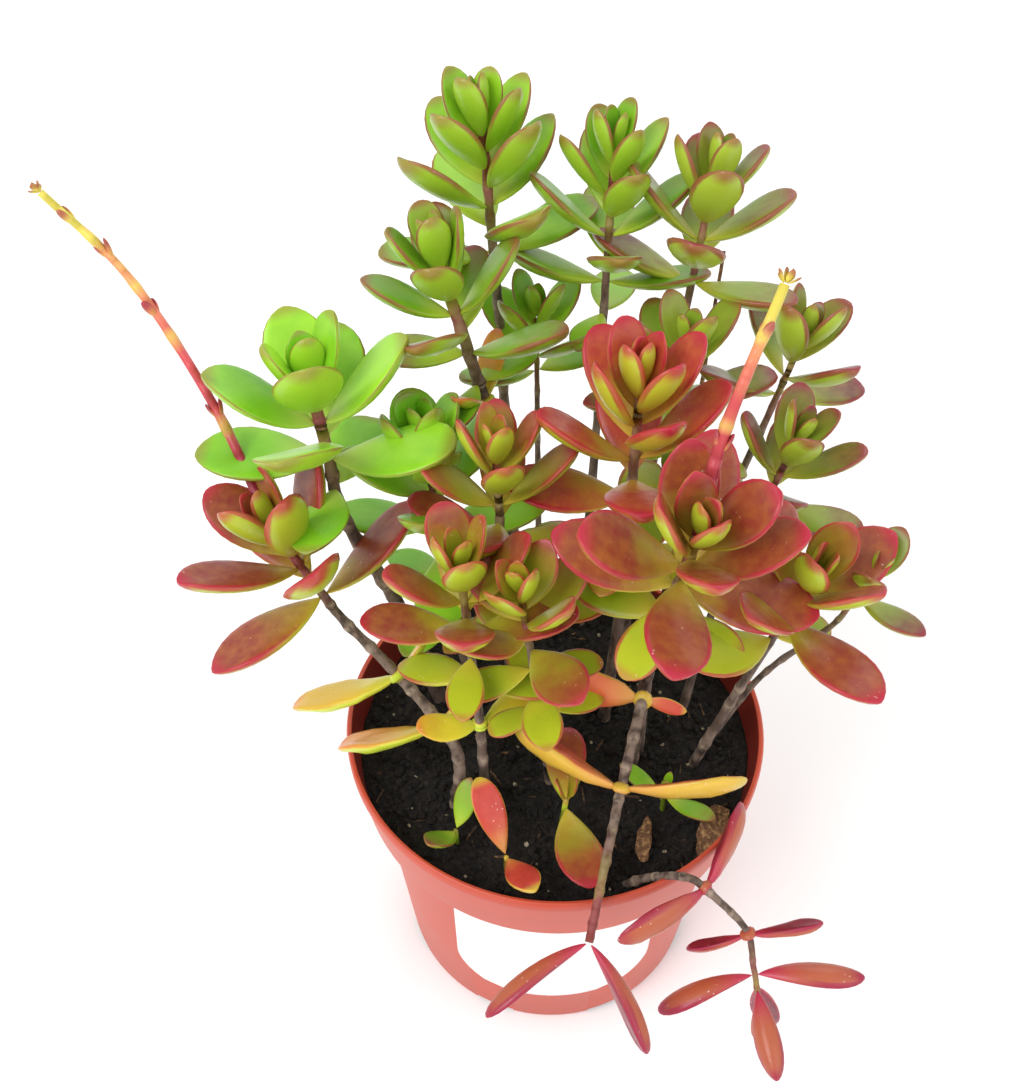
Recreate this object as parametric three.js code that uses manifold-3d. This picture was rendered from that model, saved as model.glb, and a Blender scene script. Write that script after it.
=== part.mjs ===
// A red-carpet stonecrop in a round nursery pot, in millimetres, +Z up.
// The origin is the centre of the pot's flat base, and the label faces -Y.
import * as THREE from "three";
import { mergeVertices } from "three/addons/utils/BufferGeometryUtils.js";
import Module from "manifold-3d";

const wasm = await Module();
wasm.setup();

// Driving dimensions of the pot.
const POT_HEIGHT = 86;
const RIM_RADIUS = 52;
const BASE_RADIUS = 40.5;
const NECK_RADIUS = 45.7;
const COLLAR_HEIGHT = 19.2;
const COLLAR_FOOT_RADIUS = 49.5;
const WALL = 1.2;
const FLOOR = 2;
const POT_SIDES = 40;
const NOTCHES = { count: 8, width: 11, depth: 7, height: 2.6 };
const DRAINS = { count: 4, radius: 3, ring: 20, sides: 12 };
// The collar's foot steps out and then rises, outside and inside, and the rim has a small bevel.
const COLLAR_STEP = { out: 1, rise: 2, innerRise: 3, innerFoot: 1 };
const RIM_BEVEL = 0.4;

// What the pot holds and wears.
const GAP = 0.3;
const SOIL_LEVEL = 76;
const PLANTING_DEPTH = 6;
// The soil's brim slopes down a little before it meets the wall.
const BRIM = { clearance: 0.4, drop: 0.8, slope: 4 };
const LABEL = { halfWidth: 25, bottom: 18, corner: 13, thickness: 0.4, cornerSteps: 6 };

// A leaf: the shares of its length that are width and thickness, and where its blade is widest.
const LEAF = { width: 0.5, thickness: 0.17, widestAt: 0.62, cupping: 0.09, around: 4, along: 4 };

// How a tuft grows. Its pairs are counted up from the oldest, each turned on from the one below.
// Splay is the angle between a leaf and the stem, in degrees, size is a share of the oldest leaf, and
// stretch is the share by which the spacing grows with each pair down from the tip. Closing and
// shrinking are the powers of a pair's youth by which its splay and its size fall.
const GROWTH = {
  turn: 98, spacing: 2.5, stretch: 0.09,
  splay: 86, youngSplay: 16, closing: 0.8, youngSize: 0.42, shrinking: 2,
};

const STEM_SIDES = 5;
const STEPS_PER_SPAN = 2;
const CURVE_SAMPLES = 60;
// How far a tuft's core reaches past its tip.
const CORE_TIP = 1;
const JOINT = 1.5;
const FOOT_OFFSET = 0.6;
const BUD = { around: 6, along: 5 };
// Keeps a leaf's width finite at the sphere's poles.
const POLE = 0.01;
const MERGE_DISTANCE = 1e-4;
const COLLAR = { radius: 1.1, length: 2.4 };

const FINISHES = {
  terracotta: { color: 0xb5483a, roughness: 0.45 },
  soil: { color: 0x1c1613, roughness: 1 },
  paper: { color: 0xf4f3f0, roughness: 0.8 },
  wood: { color: 0x6b5648, roughness: 0.9 },
  green: { color: 0x86b82a, roughness: 0.35 },
  olive: { color: 0x8f8a2c, roughness: 0.35 },
  red: { color: 0xa53a2c, roughness: 0.35 },
  crimson: { color: 0x9b2740, roughness: 0.35 },
  amber: { color: 0xd8902c, roughness: 0.4 },
  dry: { color: 0xa5824f, roughness: 0.9 },
};

// The leafy shoots. Stem is the route from the soil, tip is where the tuft ends, turn is the heading
// of the oldest pair in degrees from +X towards +Y, and leaf is the length of the oldest leaves.
const SHOOTS = [
  { name: "back_left", finish: "green", thick: 2.6, broad: 1.1, turn: 15, pairs: 8, leaf: 26,
    stem: [[-10, 40], [-12, 50, 130], [-14, 57, 170]], tip: [-17, 61, 211] },
  { name: "left_back", finish: "green", thick: 3.4, broad: 1.05, turn: 160, pairs: 7, leaf: 24,
    stem: [[-9, 24], [-11, 30, 125], [-17, 35, 158]], tip: [-26, 38, 193] },
  { name: "small_back", finish: "green", thick: 1.6, broad: 1.15, turn: 30, pairs: 5, leaf: 20,
    stem: [[-3, 36], [-4, 46, 120]], tip: [-5, 53, 168] },
  { name: "back_centre", finish: "green", thick: 2.2, broad: 1, turn: 170, pairs: 8, leaf: 24,
    stem: [[8, 38], [10, 47, 135]], tip: [11, 58, 206] },
  { name: "back_right", finish: "olive", thick: 2.2, broad: 1.05, turn: -25, pairs: 7, leaf: 24,
    stem: [[20, 34], [24, 42, 130]], tip: [32, 53, 203] },
  { name: "right_inner", finish: "olive", thick: 2, broad: 1, turn: 10, pairs: 5, leaf: 22,
    stem: [[21, 24], [26, 30, 125]], tip: [27, 33, 174] },
  { name: "right_back", finish: "olive", thick: 2, broad: 0.95, turn: 25, pairs: 5, leaf: 22,
    stem: [[31, 24], [40, 31, 120]], tip: [54, 40, 171] },
  { name: "right_middle", finish: "olive", thick: 2, broad: 1, turn: -25, pairs: 6, leaf: 21,
    stem: [[33, 8], [39, 12, 120]], tip: [49, 12, 165] },
  { name: "centre", finish: "red", thick: 2.6, broad: 1.05, turn: 172, pairs: 8, leaf: 27,
    stem: [[13, 7], [15, 8, 120]], tip: [15, 10, 181] },
  { name: "middle", finish: "red", thick: 2.4, broad: 0.95, turn: 165, pairs: 7, leaf: 22,
    stem: [[-9, 6], [-12, 3, 115]], tip: [-14, 6, 167] },
  { name: "front_left", finish: "red", thick: 2.2, broad: 1.05, turn: 178, pairs: 6, leaf: 23,
    stem: [[-17, -19], [-18, -18, 107]], tip: [-21, -16, 156] },
  { name: "front_middle", finish: "red", thick: 2, broad: 1.1, turn: -60, pairs: 6, leaf: 20,
    stem: [[-1, -12], [-4, -17, 110]], tip: [-9, -20, 153] },
  { name: "front_right", finish: "red", thick: 3, broad: 1, turn: 160, pairs: 7, leaf: 28,
    stem: [[21, -3], [21, -6, 115]], tip: [23, -27, 177] },
  { name: "right_low", finish: "red", thick: 2.2, broad: 1.05, turn: -62, pairs: 5, leaf: 25,
    stem: [[34, -7], [40, -13, 110]], tip: [48, -20, 157] },
  { name: "right_tip", finish: "olive", thick: 1.6, broad: 1.1, turn: -45, pairs: 3, leaf: 15,
    stem: [[37, -2], [47, -8, 112], [58, -14, 138]], tip: [62, -15, 153] },
  { name: "left_tall", finish: "green", thick: 3.4, broad: 1.25, turn: 172, pairs: 6, leaf: 29,
    stem: [[-28, 12], [-38, 14, 110], [-49, 13, 145]], tip: [-52, 16, 177] },
  { name: "left_low", finish: "red", thick: 2.6, broad: 1, turn: -155, pairs: 6, leaf: 29,
    stem: [[-25, -19], [-24, -18, 98], [-37, -8, 112], [-50, -1, 125]], tip: [-61, 2, 147] },
  { name: "left_inner", finish: "green", thick: 2, broad: 1.15, turn: 175, pairs: 7, leaf: 25,
    stem: [[-20, 12], [-26, 17, 112]], tip: [-30, 21, 157] },
  // Two stems lean over the rim: they run out of the pot and end in leaves outside it.
  { name: "front_trailing", finish: "crimson", thick: 2.6, broad: 0.5, turn: 180, pairs: 1, leaf: 25,
    splay: 45, stem: [[19, -8], [19, -15, 112], [14, -30, 99], [10, -45, 93]], tip: [6, -60, 85] },
  { name: "right_trailing", finish: "crimson", thick: 1.8, broad: 0.65, turn: 178, pairs: 3, leaf: 23,
    splay: 82, stem: [[13, -40], [20, -43, 82], [29, -47, 89], [34, -51, 88], [42, -55, 79]],
    tip: [45, -64, 66] },
];

// Young plants that have just rooted in the soil.
const SEEDLINGS = [
  { name: "seedling_front", finish: "olive", thick: 1.6, broad: 1, turn: -85, pairs: 2, leaf: 21,
    stem: [[1, -25]], tip: [2, -26, 88] },
  { name: "seedling_red", finish: "crimson", thick: 1.4, broad: 0.75, turn: 110, pairs: 1, leaf: 19,
    splay: 60, stem: [[-12, -37]], tip: [-12, -37, 81] },
  { name: "seedling_left", finish: "olive", thick: 1.4, broad: 1, turn: 60, pairs: 1, leaf: 13, splay: 55,
    stem: [[-24, -30]], tip: [-24, -30, 81] },
  { name: "seedling_right", finish: "olive", thick: 1.4, broad: 0.8, turn: -30, pairs: 2, leaf: 13,
    stem: [[26, -21]], tip: [26, -21, 84] },
];

// Old pairs left alone on a bare stretch of stem, fused round it at their foot. The first length is
// that of the leaf at the heading given by turn, and the second that of the leaf opposite.
const PAIRS = [
  { name: "left_yellow_pair", on: "left_low", at: [-37, -8, 112], finish: "amber", broad: 0.8,
    turn: 170, splay: 80, lengths: [28, 12] },
  { name: "left_amber_pair", on: "left_low", at: [-28, -15, 102], finish: "amber", broad: 0.85,
    turn: 165, splay: 80, lengths: [27, 13] },
  { name: "middle_amber_pair", on: "front_left", at: [-18, -18, 107], finish: "amber", broad: 1.05,
    turn: 20, splay: 80, lengths: [24, 15] },
  { name: "back_amber_pair", on: "left_back", at: [-17, 35, 158], finish: "amber", broad: 0.8,
    turn: 70, splay: 60, lengths: [18, 16] },
  { name: "upper_coral_pair", on: "front_trailing", at: [19, -15, 112], finish: "red", broad: 0.85,
    turn: 165, splay: 95, lengths: [24, 10] },
  { name: "lower_coral_pair", on: "front_trailing", at: [14, -30, 99], finish: "red", broad: 0.85,
    turn: 165, splay: 80, lengths: [28, 28] },
  { name: "rim_pair", on: "right_trailing", at: [32, -49, 88.6], finish: "crimson", broad: 0.8,
    turn: 55, splay: 80, lengths: [23, 24] },
  { name: "hanging_pair", on: "right_trailing", at: [42, -55, 79], finish: "crimson", broad: 0.5,
    turn: -15, splay: 100, lengths: [17, 15] },
];

// The two flower stalks rise from the hearts of red tufts; bracts sit at shares of their length.
const STALKS = [
  { name: "left_flower_stalk", radius: 1.05, budRadius: 1.7, bracts: [0.3, 0.55, 0.7, 0.85],
    route: [[-62, 3, 147], [-74, 19, 170], [-91, 34, 193], [-105, 38, 209]] },
  { name: "right_flower_stalk", radius: 1.2, budRadius: 2, bracts: [0.45, 0.8],
    route: [[23, -28, 178], [26, -20, 193], [36, -5, 216]] },
];
const BRACT = { length: 5, splay: 35, broad: 0.8 };

// Dead matter: a bare twig behind, and two dead leaves just above the soil at the front.
const TWIG = { radius: 0.7, route: [[28, 30], [32, 40, 120], [37, 56, 184]] };
const LITTER = [
  { name: "fallen_leaf", at: [33, -35, 77.4], heading: 60, length: 15, broad: 0.9 },
  { name: "shrivelled_leaf", at: [22, -24, 78.2], heading: -100, length: 14, broad: 0.5 },
];

function material(finish) {
  return new THREE.MeshStandardMaterial({ ...FINISHES[finish], metalness: 0 });
}

// Solids and geometries.

function solidOf(geometry) {
  const bare = geometry.clone();
  bare.deleteAttribute("normal");
  bare.deleteAttribute("uv");
  const merged = mergeVertices(bare, MERGE_DISTANCE);
  const mesh = new wasm.Mesh({
    numProp: 3,
    vertProperties: new Float32Array(merged.attributes.position.array),
    triVerts: new Uint32Array(merged.index.array),
  });
  return new wasm.Manifold(mesh);
}

function geometryOf(solid) {
  const mesh = solid.getMesh();
  const geometry = new THREE.BufferGeometry();
  geometry.setAttribute("position", new THREE.BufferAttribute(mesh.vertProperties, 3));
  geometry.setIndex(new THREE.BufferAttribute(mesh.triVerts, 1));
  return geometry;
}

function union(solids) {
  return solids.reduce((joined, solid) => joined.add(solid));
}

// The main body of a cut solid: a cut can leave crumbs of a leaf on the far side of its neighbour.
function mainBody(solid) {
  return solid.decompose().reduce((best, piece) => (piece.volume() > best.volume() ? piece : best));
}

function lathe(profile) {
  const points = profile.map(([radius, height]) => new THREE.Vector2(radius, height));
  return solidOf(new THREE.LatheGeometry(points, POT_SIDES).rotateX(Math.PI / 2));
}

function box(width, depth, height, x, y, z) {
  return solidOf(new THREE.BoxGeometry(width, depth, height).translate(x, y, z));
}

function tube(points, radius) {
  const curve = new THREE.CatmullRomCurve3(points, false, "centripetal");
  const section = new THREE.Shape();
  for (let side = 0; side < STEM_SIDES; side += 1) {
    const angle = (2 * Math.PI * side) / STEM_SIDES;
    const corner = [radius * Math.cos(angle), radius * Math.sin(angle)];
    side === 0 ? section.moveTo(...corner) : section.lineTo(...corner);
  }
  section.closePath();
  const steps = STEPS_PER_SPAN * (points.length - 1);
  return solidOf(new THREE.ExtrudeGeometry(section, { steps, extrudePath: curve }));
}

function heading(degrees) {
  const turn = THREE.MathUtils.degToRad(degrees);
  return new THREE.Vector3(Math.cos(turn), Math.sin(turn), 0);
}

// What is left of a vector once its share along an axis is taken off, at length one.
function squareTo(axis, vector) {
  return vector.clone().addScaledVector(axis, -axis.dot(vector)).normalize();
}

// The way a leaf points: away from the stem's axis by its splay, on the side that its turn gives.
function leafDirection(axis, turn, turnedOn, splay) {
  const out = squareTo(axis, heading(turn)).applyAxisAngle(axis, THREE.MathUtils.degToRad(turnedOn));
  const lean = THREE.MathUtils.degToRad(splay);
  return out.multiplyScalar(Math.sin(lean)).addScaledVector(axis, Math.cos(lean));
}

// A leaf as a squashed sphere: a narrow foot, a blade widest past its middle, cupped towards the stem.
function leafSolid(foot, axis, along, length, broad, swell) {
  const blade = new THREE.SphereGeometry(1, LEAF.around, LEAF.along).rotateX(Math.PI / 2);
  const halfWidth = (LEAF.width * broad * length) / 2;
  const halfThickness = (LEAF.thickness * length) / 2;
  const face = squareTo(along, axis);
  const across = new THREE.Vector3().crossVectors(face, along);
  const place = blade.attributes.position;
  const point = new THREE.Vector3();
  for (let i = 0; i < place.count; i += 1) {
    point.fromBufferAttribute(place, i);
    const t = (1 + point.z) / 2;
    const skew = t ** (Math.log(0.5) / Math.log(LEAF.widestAt));
    const fullness = Math.sin(Math.PI * skew) / Math.max(Math.sin(Math.PI * t), POLE);
    const u = point.x * (halfWidth * fullness + swell);
    const v = point.y * (halfThickness * fullness + swell);
    const cup = LEAF.cupping * length * t * t;
    const reach = t * length + (2 * t - 1) * swell;
    point.copy(foot).addScaledVector(along, reach);
    point.addScaledVector(across, u).addScaledVector(face, v + cup);
    place.setXYZ(i, point.x, point.y, point.z);
  }
  return solidOf(blade);
}

// The pot and what fills and labels it.

function potSolid() {
  const neck = POT_HEIGHT - COLLAR_HEIGHT;
  const shell = lathe([
    [0, 0], [BASE_RADIUS, 0], [NECK_RADIUS, neck], [COLLAR_FOOT_RADIUS - COLLAR_STEP.out, neck],
    [COLLAR_FOOT_RADIUS, neck + COLLAR_STEP.rise],
    [RIM_RADIUS, POT_HEIGHT - RIM_BEVEL], [RIM_RADIUS - RIM_BEVEL, POT_HEIGHT],
    [RIM_RADIUS - WALL, POT_HEIGHT], [COLLAR_FOOT_RADIUS - WALL, neck + COLLAR_STEP.innerRise],
    [NECK_RADIUS - WALL, neck + COLLAR_STEP.innerFoot], [BASE_RADIUS - WALL, FLOOR], [0, FLOOR],
  ]);
  const cuts = [];
  for (let i = 0; i < NOTCHES.count; i += 1) {
    const notch = new THREE.BoxGeometry(2 * NOTCHES.depth, NOTCHES.width, 2 * NOTCHES.height);
    notch.translate(BASE_RADIUS, 0, 0).rotateZ((2 * Math.PI * (i + 0.5)) / NOTCHES.count);
    cuts.push(solidOf(notch));
  }
  for (let i = 0; i < DRAINS.count; i += 1) {
    const drain = new THREE.CylinderGeometry(DRAINS.radius, DRAINS.radius, 3 * FLOOR, DRAINS.sides);
    drain.rotateX(Math.PI / 2).translate(DRAINS.ring, 0, 0).rotateZ((2 * Math.PI * i) / DRAINS.count);
    cuts.push(solidOf(drain));
  }
  return shell.subtract(union(cuts));
}

function soilSolid() {
  const neck = POT_HEIGHT - COLLAR_HEIGHT;
  const inner = WALL + GAP;
  const foot = FLOOR + GAP;
  const rise = (SOIL_LEVEL - neck - COLLAR_STEP.innerRise) / (POT_HEIGHT - neck);
  const brim = COLLAR_FOOT_RADIUS + rise * (RIM_RADIUS - COLLAR_FOOT_RADIUS) - inner;
  return lathe([
    [0, foot], [BASE_RADIUS - inner, foot], [NECK_RADIUS - inner, neck + COLLAR_STEP.innerFoot],
    [COLLAR_FOOT_RADIUS - inner - BRIM.clearance, neck + COLLAR_STEP.innerRise],
    [brim - BRIM.clearance, SOIL_LEVEL - BRIM.drop], [brim - BRIM.slope, SOIL_LEVEL], [0, SOIL_LEVEL],
  ]);
}

function labelSolid() {
  const neck = POT_HEIGHT - COLLAR_HEIGHT;
  const lean = (height) => BASE_RADIUS + ((NECK_RADIUS - BASE_RADIUS) * height) / neck;
  const { halfWidth, bottom, corner, thickness } = LABEL;
  const top = neck - GAP;
  const sleeve = lathe([
    [lean(0) + GAP, 0], [lean(0) + GAP + thickness, 0],
    [lean(top) + GAP + thickness, top], [lean(top) + GAP, top], [lean(0) + GAP, 0],
  ]);
  const outline = new THREE.Shape();
  outline.moveTo(-halfWidth, top);
  outline.lineTo(-halfWidth, bottom + corner);
  outline.quadraticCurveTo(-halfWidth, bottom, corner - halfWidth, bottom);
  outline.lineTo(halfWidth - corner, bottom);
  outline.quadraticCurveTo(halfWidth, bottom, halfWidth, bottom + corner);
  outline.lineTo(halfWidth, top);
  outline.closePath();
  const reach = { depth: RIM_RADIUS, bevelEnabled: false, curveSegments: LABEL.cornerSteps };
  const cutter = new THREE.ExtrudeGeometry(outline, reach);
  return sleeve.intersect(solidOf(cutter.rotateX(Math.PI / 2)));
}

// The plant.

function routePoints(route) {
  return route.map(([x, y, z = SOIL_LEVEL - PLANTING_DEPTH]) => new THREE.Vector3(x, y, z));
}

// How far below the tip a pair sits, from how many pairs are above it.
function belowTip(above) {
  return GROWTH.spacing * above * (1 + GROWTH.stretch * above);
}

// A shoot's bare stem, and the leafy top that carries on from it, straight to the tip.
function shootLines({ stem, tip, pairs }) {
  const bare = routePoints(stem);
  const end = new THREE.Vector3(...tip);
  const axis = end.clone().sub(bare.at(-1)).normalize();
  const joint = end.clone().addScaledVector(axis, -belowTip(pairs - 1) - JOINT);
  bare.push(joint.clone().addScaledVector(axis, -GAP));
  return { axis, bare, leafy: [joint, end.clone().addScaledVector(axis, CORE_TIP)] };
}

function stemSolid(shoot, swell) {
  return tube(shootLines(shoot).bare, shoot.thick / 2 + swell);
}

// The leaves of a tuft, pair by pair from the oldest, as foot, direction and length.
function tuftLeaves(shoot, axis) {
  const leaves = [];
  const oldest = shoot.splay ?? GROWTH.splay;
  for (let pair = 0; pair < shoot.pairs; pair += 1) {
    const youth = pair / Math.max(1, shoot.pairs - 1);
    const splay = THREE.MathUtils.lerp(oldest, GROWTH.youngSplay, youth ** GROWTH.closing);
    const length = shoot.leaf * THREE.MathUtils.lerp(1, GROWTH.youngSize, youth ** GROWTH.shrinking);
    const node = new THREE.Vector3(...shoot.tip).addScaledVector(axis, -belowTip(shoot.pairs - 1 - pair));
    for (const side of [0, 180]) {
      const along = leafDirection(axis, shoot.turn, pair * GROWTH.turn + side, splay);
      leaves.push({ foot: node.clone().addScaledVector(along, FOOT_OFFSET), along, length });
    }
  }
  return leaves;
}

// The stretch of stem inside a tuft.
function coreSolid(shoot, swell) {
  return tube(shootLines(shoot).leafy, shoot.thick / 2 + swell);
}

function foliageSolid(shoot, swell) {
  const { axis } = shootLines(shoot);
  const blades = tuftLeaves(shoot, axis).map(({ foot, along, length }) => (
    leafSolid(foot, axis, along, length, shoot.broad, swell)
  ));
  return union([coreSolid(shoot, swell), ...blades]);
}

// A seedling is so small that its stem and leaves are one piece.
function seedlingSolid(shoot, swell) {
  const ends = [routePoints(shoot.stem)[0], new THREE.Vector3(...shoot.tip)];
  const root = tube(ends, shoot.thick / 2 + swell);
  return root.add(foliageSolid(shoot, swell));
}

// The way that a host stem runs at a place on it, turned to point up.
function stemAxisAt(host, place) {
  const curve = new THREE.CatmullRomCurve3(shootLines(host).bare, false, "centripetal");
  const gaps = curve.getPoints(CURVE_SAMPLES).map((point) => point.distanceTo(place));
  const axis = curve.getTangent(gaps.indexOf(Math.min(...gaps)) / CURVE_SAMPLES).normalize();
  return axis.z < 0 ? axis.negate() : axis;
}

function pairSolid(pair, swell) {
  const host = SHOOTS.find(({ name }) => name === pair.on);
  const foot = new THREE.Vector3(...pair.at);
  const axis = stemAxisAt(host, foot);
  const ends = [-0.5, 0.5].map((s) => foot.clone().addScaledVector(axis, s * COLLAR.length));
  const blades = pair.lengths.map((length, side) => {
    const along = leafDirection(axis, pair.turn, 180 * side, pair.splay);
    return leafSolid(foot, axis, along, length, pair.broad, swell);
  });
  return union([tube(ends, host.thick / 2 + COLLAR.radius + swell), ...blades]);
}

function stalkSolid({ radius, route, bracts, budRadius }, swell) {
  const points = routePoints(route);
  const curve = new THREE.CatmullRomCurve3(points, false, "centripetal");
  const bud = new THREE.SphereGeometry(budRadius + swell, BUD.around, BUD.along).translate(...points.at(-1));
  const pieces = [tube(points, radius + swell), solidOf(bud)];
  for (const share of bracts) {
    const foot = curve.getPointAt(share);
    const axis = curve.getTangentAt(share);
    for (const side of [0, 180]) {
      const along = leafDirection(axis, 0, side, BRACT.splay);
      pieces.push(leafSolid(foot, axis, along, BRACT.length, BRACT.broad, swell));
    }
  }
  return union(pieces);
}

function litterSolid(scrap, swell) {
  const up = new THREE.Vector3(0, 0, 1);
  const place = new THREE.Vector3(...scrap.at);
  return leafSolid(place, up, heading(scrap.heading), scrap.length, scrap.broad, swell);
}

// Each grown piece is a maker that takes a swell, so that a neighbour can be kept clear of it.
function grownPieces() {
  const pieces = [];
  const add = (name, finish, make, shoot) => pieces.push({ name, finish, make, shoot });
  SHOOTS.forEach((shoot) => add(`${shoot.name}_stem`, "wood", (swell) => stemSolid(shoot, swell)));
  SEEDLINGS.forEach((shoot) => add(shoot.name, shoot.finish, (swell) => seedlingSolid(shoot, swell)));
  STALKS.forEach((stalk) => add(stalk.name, "crimson", (swell) => stalkSolid(stalk, swell)));
  PAIRS.forEach((pair) => add(pair.name, pair.finish, (swell) => pairSolid(pair, swell)));
  SHOOTS.forEach((shoot) => {
    add(`${shoot.name}_leaves`, shoot.finish, (swell) => foliageSolid(shoot, swell), shoot);
  });
  add("dry_twig", "dry", (swell) => tube(routePoints(TWIG.route), TWIG.radius + swell));
  LITTER.forEach((scrap) => add(scrap.name, "dry", (swell) => litterSolid(scrap, swell)));
  return pieces;
}

const plant = new THREE.Group();

function addNode(name, finish, solid) {
  const mesh = new THREE.Mesh(geometryOf(solid), material(finish));
  mesh.name = name;
  plant.add(mesh);
}

function clearOf(solid, others) {
  const touching = others.filter((other) => solid.intersect(other).volume() > 0);
  return touching.reduce((left, other) => left.subtract(other), solid);
}

// Each piece gives way to those before it. A tuft's leaves also give way to the cores of the tufts
// after it, so that no tuft is cut off from its own stem.
const pot = potSolid();
const rooms = [];
let rooted = soilSolid();
for (const { name, finish, make, shoot } of grownPieces()) {
  const others = shoot ? SHOOTS.filter((other) => other !== shoot) : [];
  const cores = others.map((other) => coreSolid(other, 0));
  const coreRooms = others.map((other) => coreSolid(other, GAP));
  const room = clearOf(make(GAP), cores);
  const solid = clearOf(make(0), [pot, ...coreRooms, ...rooms]);
  rooms.push(room);
  rooted = rooted.subtract(room);
  addNode(name, finish, mainBody(solid));
}

addNode("pot", "terracotta", pot);
addNode("soil", "soil", mainBody(rooted));
addNode("label", "paper", mainBody(labelSolid()));

export default plant;
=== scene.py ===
"""A red-carpet stonecrop in its nursery pot: the looks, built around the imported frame.

Lengths in the growth plan are in millimetres, as the plant's plan states them, and are turned
into metres where a mesh is made.
"""

import logging
import math
import random
from dataclasses import dataclass
from enum import Enum
from typing import Callable, Union

import bmesh
import bpy
from mathutils import Matrix, Vector, noise


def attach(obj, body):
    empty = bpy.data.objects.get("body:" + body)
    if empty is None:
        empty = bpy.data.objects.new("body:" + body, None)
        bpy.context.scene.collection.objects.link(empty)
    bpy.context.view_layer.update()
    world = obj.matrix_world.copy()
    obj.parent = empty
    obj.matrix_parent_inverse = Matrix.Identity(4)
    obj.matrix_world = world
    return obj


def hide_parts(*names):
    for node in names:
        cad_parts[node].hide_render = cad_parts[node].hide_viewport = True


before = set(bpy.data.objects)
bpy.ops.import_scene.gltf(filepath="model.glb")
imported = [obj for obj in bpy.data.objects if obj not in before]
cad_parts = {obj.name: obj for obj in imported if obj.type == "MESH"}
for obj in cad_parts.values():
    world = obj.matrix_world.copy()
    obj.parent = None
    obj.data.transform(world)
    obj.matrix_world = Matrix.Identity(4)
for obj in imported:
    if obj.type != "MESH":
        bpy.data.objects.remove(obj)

MM = 0.001
BODY = "root"
NOISE_SEED = 7
LOG = logging.getLogger("potted_plant")

Colour = tuple[float, float, float, float]
Point = tuple[float, ...]
Value = Union["Wire", float, Colour, tuple]


def tint(code: int) -> Colour:
    """A linear colour from a display colour such as 0xc05040."""
    shares = [((code >> shift) & 255) / 255 for shift in (16, 8, 0)]
    linear = [s / 12.92 if s <= 0.04045 else ((s + 0.055) / 1.055) ** 2.4 for s in shares]
    return (*linear, 1.0)


def lerp(low: float, high: float, share: float) -> float:
    """The value at a share of the way from low to high."""
    return low + (high - low) * share


def ease(value: float, low: float, high: float) -> float:
    """0 below low, 1 above high and a smooth step between."""
    share = min(1.0, max(0.0, (value - low) / (high - low)))
    return share * share * (3 - 2 * share)


# ---------------------------------------------------------------- shader expressions


class Wire:
    """A shader socket on which Python's operators build Math nodes."""

    def __init__(self, shader: "Shader", socket: bpy.types.NodeSocket) -> None:
        """Keeps the socket and the shader that it belongs to."""
        self.shader = shader
        self.socket = socket

    def _math(self, operation: str, first: Value, second: Value) -> "Wire":
        """One Math node on two values."""
        return self.shader.node("ShaderNodeMath", {"operation": operation}, {0: first, 1: second})

    def __add__(self, other: Value) -> "Wire":
        """self + other."""
        return self._math("ADD", self, other)

    def __radd__(self, other: Value) -> "Wire":
        """other + self."""
        return self._math("ADD", other, self)

    def __sub__(self, other: Value) -> "Wire":
        """self - other."""
        return self._math("SUBTRACT", self, other)

    def __rsub__(self, other: Value) -> "Wire":
        """other - self."""
        return self._math("SUBTRACT", other, self)

    def __mul__(self, other: Value) -> "Wire":
        """self * other."""
        return self._math("MULTIPLY", self, other)

    def __rmul__(self, other: Value) -> "Wire":
        """other * self."""
        return self._math("MULTIPLY", other, self)

    def __or__(self, other: Value) -> "Wire":
        """The larger of two masks."""
        return self._math("MAXIMUM", self, other)


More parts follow.
